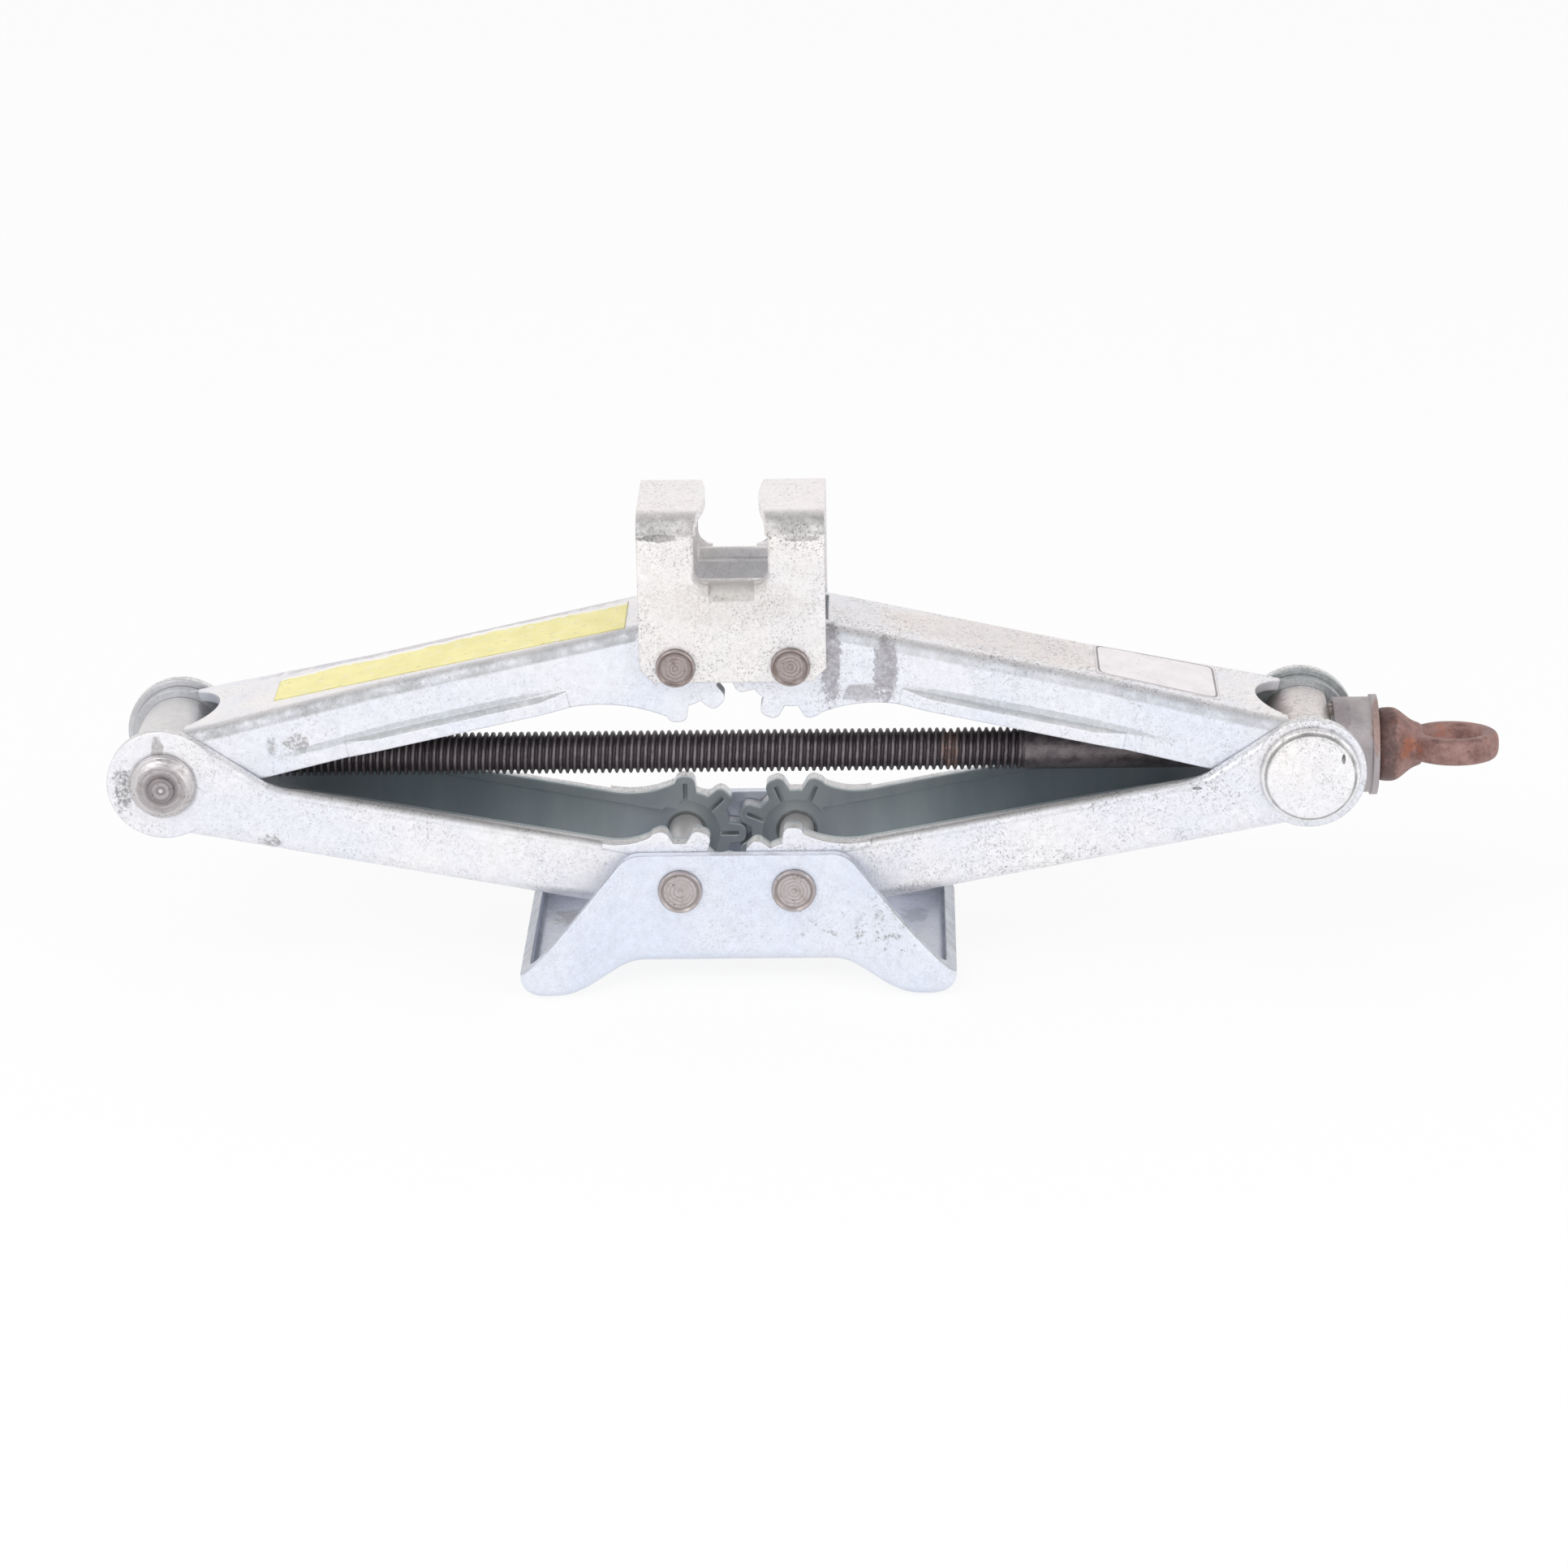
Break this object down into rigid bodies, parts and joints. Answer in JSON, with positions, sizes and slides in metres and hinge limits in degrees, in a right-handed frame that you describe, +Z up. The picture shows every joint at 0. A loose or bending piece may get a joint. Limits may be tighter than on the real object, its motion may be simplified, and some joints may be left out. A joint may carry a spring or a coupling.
{
  "type": "scissor jack",
  "caption": "Screw-driven scissor jack: geared channel arms between a pressed foot and a notched saddle, raised by turning a drive eye on a lead screw.",
  "frame": {"origin": "on the ground under the middle of the whole jack's length, 19.6 mm towards the drive eye from the middle of the foot", "axes": "+X along the lead screw towards the drive eye, +Y towards the back, +Z up"},
  "size_m": [0.3918, 0.076, 0.1366],
  "materials": {
    "zinc_plate": "bright zinc plating, scuffed",
    "pin_steel": "turned bare steel, lightly tarnished",
    "screw_steel": "black-brown phosphate, oiled",
    "eye_steel": "forged steel, rusted brown",
    "collar_steel": "pressed steel cup, grey with rust spots",
    "bearing_steel": "hardened ground steel"
  },
  "bodies": {
    "base": {"base_plate": "zinc_plate", "base_pin_left": "pin_steel", "base_pin_right": "pin_steel"},
    "lower_arm_left": {"lower_arm_left": "zinc_plate"},
    "lower_arm_right": {"lower_arm_right": "zinc_plate"},
    "upper_arm_left": {"upper_arm_left": "zinc_plate"},
    "upper_arm_right": {"upper_arm_right": "zinc_plate"},
    "saddle": {"saddle": "zinc_plate", "saddle_pin_left": "pin_steel", "saddle_pin_right": "pin_steel"},
    "nut_trunnion": {"nut_trunnion": "pin_steel"},
    "thrust_trunnion": {"thrust_trunnion": "pin_steel", "trunnion_pin_front": "pin_steel", "trunnion_pin_back": "pin_steel", "fixed_race": "bearing_steel"},
    "screw": {"lead_screw": "screw_steel", "drive_eye": "eye_steel", "thrust_collar": "collar_steel", "turning_race": "bearing_steel", "ball_cage": "bearing_steel", "bearing_balls": "bearing_steel"}
  },
  "joints": [
    {"name": "lift", "type": "hinge", "parent": "base", "child": "lower_arm_left", "pos_m": [-0.0356, 0, 0.0285], "axis": [0, 1, 0], "range_deg": [-6, 60]},
    {"name": "lower_right_pivot", "type": "hinge", "parent": "base", "child": "lower_arm_right", "pos_m": [-0.0036, 0, 0.0285], "axis": [0, 1, 0], "range_deg": [-60, 6]},
    {"name": "upper_left_pivot", "type": "hinge", "parent": "lower_arm_left", "child": "upper_arm_left", "pos_m": [-0.18009, 0, 0.06053], "axis": [0, 1, 0], "range_deg": [-120, 12]},
    {"name": "saddle_pivot", "type": "hinge", "parent": "upper_arm_left", "child": "saddle", "pos_m": [-0.0356, 0, 0.09257], "axis": [0, 1, 0], "range_deg": [-6, 60]},
    {"name": "upper_right_pivot", "type": "hinge", "parent": "lower_arm_right", "child": "upper_arm_right", "pos_m": [0.14089, 0, 0.06053], "axis": [0, 1, 0], "range_deg": [-12, 120]},
    {"name": "nut_pivot", "type": "hinge", "parent": "lower_arm_left", "child": "nut_trunnion", "pos_m": [-0.18009, 0, 0.06053], "axis": [0, 1, 0], "range_deg": [-60, 6]},
    {"name": "thrust_pivot", "type": "hinge", "parent": "lower_arm_right", "child": "thrust_trunnion", "pos_m": [0.14089, 0, 0.06053], "axis": [0, 1, 0], "range_deg": [-6, 60]},
    {"name": "screw_spin", "type": "hinge", "parent": "thrust_trunnion", "child": "screw", "pos_m": [0.14089, 0, 0.06053], "axis": [1, 0, 0], "continuous": true}
  ],
  "couplings": [
    {"joint": "lower_right_pivot", "follows": "lift", "ratio": -1},
    {"joint": "upper_left_pivot", "follows": "lift", "ratio": -2},
    {"joint": "saddle_pivot", "follows": "lift", "ratio": 1},
    {"joint": "upper_right_pivot", "follows": "lift", "ratio": 2},
    {"joint": "nut_pivot", "follows": "lift", "ratio": -1},
    {"joint": "thrust_pivot", "follows": "lift", "ratio": 1}
  ]
}
